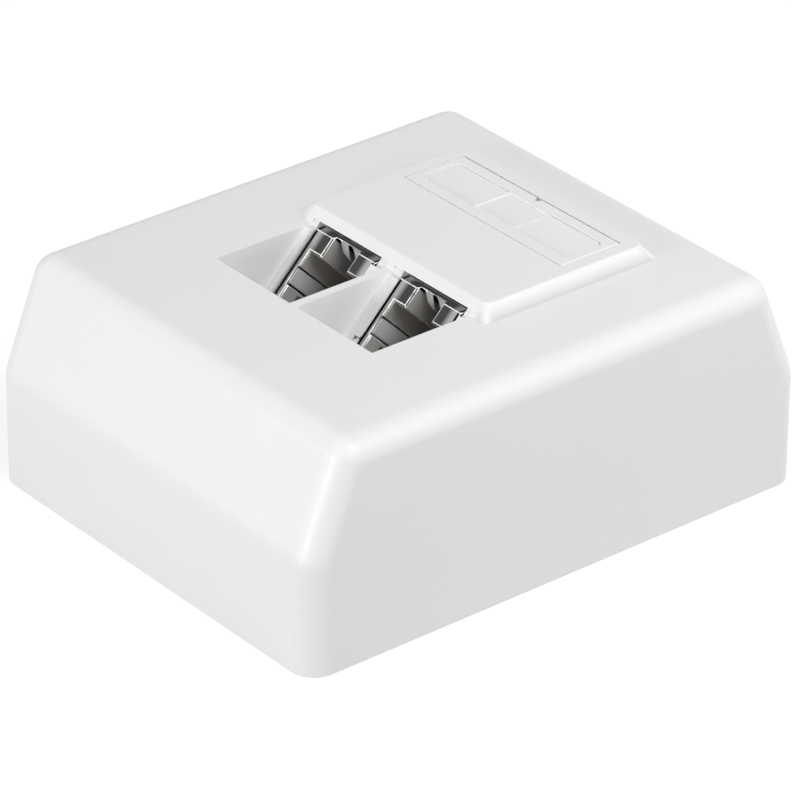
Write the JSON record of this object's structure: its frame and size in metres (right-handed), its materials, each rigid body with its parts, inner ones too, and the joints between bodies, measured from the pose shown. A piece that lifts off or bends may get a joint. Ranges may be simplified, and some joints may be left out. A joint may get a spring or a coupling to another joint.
{
  "type": "surface mount jack box",
  "caption": "Wall box with a raised platform, two slanted pockets for shielded modular jacks, a lift-off label strip and a slotted back plate.",
  "frame": {"origin": "middle of the rear face of the back plate, which lies on the wall", "axes": "+X along the box, the jacks open towards -X; +Z out of the wall through the face; +Y across the box"},
  "size_m": [0.0992, 0.08, 0.0405],
  "materials": {
    "cover_plastic": "smooth satin white moulding",
    "plate_plastic": "white moulding",
    "strip_plastic": "smooth satin white moulding",
    "label_paper": "uncoated white paper",
    "screw_steel": "zinc-plated steel",
    "carrier_steel": "zinc-plated sheet steel",
    "die_cast_nickel": "nickel-plated zinc die casting",
    "spring_bronze": "tin-plated spring bronze",
    "insert_plastic": "black moulding",
    "gold_contact": "gold-plated bronze wire",
    "board_laminate": "green coated laminate",
    "block_plastic": "off-white moulding",
    "blade_bronze": "tin-plated bronze sheet",
    "cap_plastic": "grey-blue moulding"
  },
  "bodies": {
    "box": {"cover": "cover_plastic", "back_plate": "plate_plastic", "cover_screw": "screw_steel", "carrier_screw_left": "screw_steel", "carrier_screw_right": "screw_steel", "jack_carrier": "carrier_steel", "jack_housing_1": "die_cast_nickel", "ground_springs_1": "spring_bronze", "contact_insert_1": "insert_plastic", "contact_springs_1": "gold_contact", "jack_board_1": "board_laminate", "wiring_block_1": "block_plastic", "wiring_blades_1": "blade_bronze", "wire_cap_1": "cap_plastic", "rear_shield_1": "die_cast_nickel", "jack_housing_2": "die_cast_nickel", "ground_springs_2": "spring_bronze", "contact_insert_2": "insert_plastic", "contact_springs_2": "gold_contact", "jack_board_2": "board_laminate", "wiring_block_2": "block_plastic", "wiring_blades_2": "blade_bronze", "wire_cap_2": "cap_plastic", "rear_shield_2": "die_cast_nickel"},
    "label_strip": {"label_strip": "strip_plastic", "label_card_left": "label_paper", "label_card_right": "label_paper"}
  },
  "joints": [
    {"name": "strip_lift", "type": "slide", "parent": "box", "child": "label_strip", "axis": [0, 0, 1], "range_m": [0, 0.012]}
  ]
}
